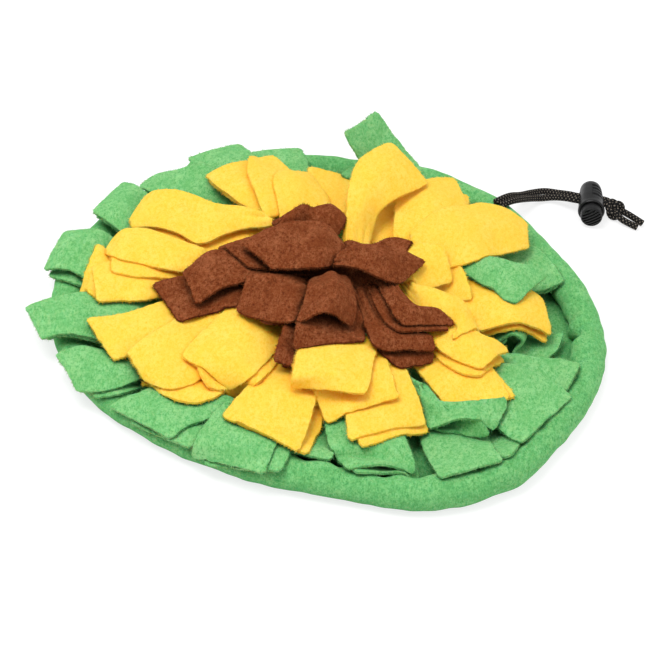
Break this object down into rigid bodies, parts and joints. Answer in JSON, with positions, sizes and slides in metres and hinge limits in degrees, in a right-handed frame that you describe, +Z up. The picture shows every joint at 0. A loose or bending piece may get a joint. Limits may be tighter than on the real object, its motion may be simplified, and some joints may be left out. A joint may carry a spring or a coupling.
{
  "type": "snuffle mat",
  "caption": "Round fleece snuffle mat for a pet: a tray-like base with a puffy drawcord hem, covered by rings of folded green, yellow and brown strips, with a sliding spring cord lock.",
  "frame": {"origin": "middle of the mat's flat underside, on the surface that it lies on", "axes": "+Z up, +X to the right and +Y to the back as seen from the front; the drawcord leaves the hem at the back right"},
  "size_m": [0.3714, 0.333, 0.0564],
  "materials": {
    "green_fleece": "green polar fleece, short soft nap",
    "yellow_fleece": "yellow polar fleece, short soft nap",
    "brown_fleece": "brown polar fleece, short soft nap",
    "black_cord": "black braided polyester cord",
    "black_plastic": "black moulded plastic, satin gloss"
  },
  "bodies": {
    "root": {"base": "green_fleece", "green_01": "green_fleece", "green_02": "green_fleece", "green_03": "green_fleece", "green_04": "green_fleece", "green_05": "green_fleece", "green_06": "green_fleece", "green_07": "green_fleece", "green_08": "green_fleece", "green_09": "green_fleece", "green_10": "green_fleece", "green_11": "green_fleece", "green_12": "green_fleece", "green_13": "green_fleece", "green_14": "green_fleece", "green_15": "green_fleece", "green_16": "green_fleece", "green_17": "green_fleece", "yellow_01": "yellow_fleece", "yellow_02": "yellow_fleece", "yellow_03": "yellow_fleece", "green_18": "green_fleece", "yellow_04": "yellow_fleece", "green_19": "green_fleece", "yellow_05": "yellow_fleece", "yellow_06": "yellow_fleece", "yellow_07": "yellow_fleece", "yellow_08": "yellow_fleece", "yellow_09": "yellow_fleece", "yellow_10": "yellow_fleece", "yellow_11": "yellow_fleece", "yellow_12": "yellow_fleece", "yellow_13": "yellow_fleece", "yellow_14": "yellow_fleece", "yellow_15": "yellow_fleece", "yellow_16": "yellow_fleece", "yellow_17": "yellow_fleece", "yellow_18": "yellow_fleece", "brown_01": "brown_fleece", "brown_02": "brown_fleece", "yellow_19": "yellow_fleece", "yellow_20": "yellow_fleece", "brown_03": "brown_fleece", "brown_04": "brown_fleece", "brown_05": "brown_fleece", "brown_06": "brown_fleece", "brown_07": "brown_fleece", "brown_08": "brown_fleece", "brown_09": "brown_fleece", "brown_10": "brown_fleece", "lock_body": "black_plastic", "strand_a": "black_cord", "strand_b": "black_cord", "knot": "black_cord", "tail_a": "black_cord", "tail_b": "black_cord"},
    "button": {"lock_button": "black_plastic"}
  },
  "joints": [
    {"name": "button_press", "type": "slide", "parent": "root", "child": "button", "axis": [0, 1, 0], "range_m": [0, 0.004], "stiffness_N_per_m": 900, "springref_m": -0.002}
  ]
}
